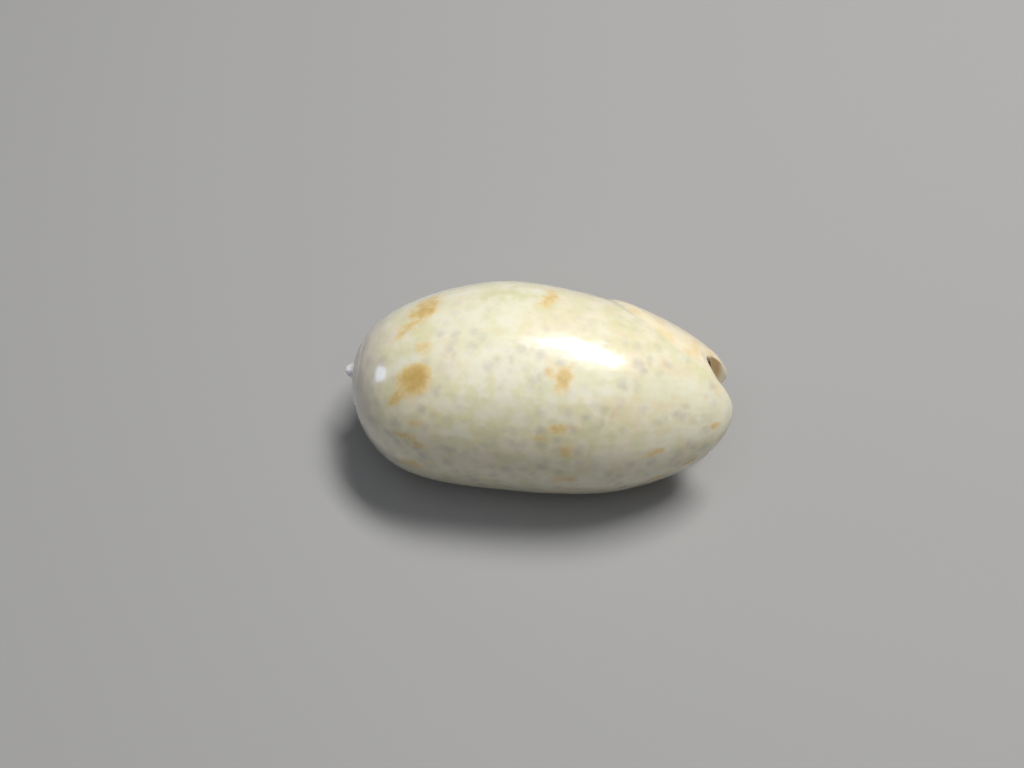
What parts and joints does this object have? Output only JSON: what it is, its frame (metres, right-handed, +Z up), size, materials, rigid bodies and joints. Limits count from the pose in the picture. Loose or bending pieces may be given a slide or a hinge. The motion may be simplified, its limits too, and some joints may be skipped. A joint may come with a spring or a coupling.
{
  "type": "sea shell",
  "caption": "Glossy olive shell with a low callused spire, a small nipple, a long narrow aperture with folds on the inner lip, and a siphonal notch",
  "frame": {"origin": "bottom centre of the bounding box, on the ground the shell lies on", "axes": "+X runs from the apex to the siphonal end, -Y is the outer lip's side, +Z is up through the back of the shell; the aperture faces down"},
  "size_m": [0.0388, 0.0206, 0.0185],
  "materials": {
    "shell": "glossy, cream with olive mottling and orange-brown blotches"
  },
  "bodies": {
    "root": {"olive_shell": "shell"}
  },
  "joints": []
}
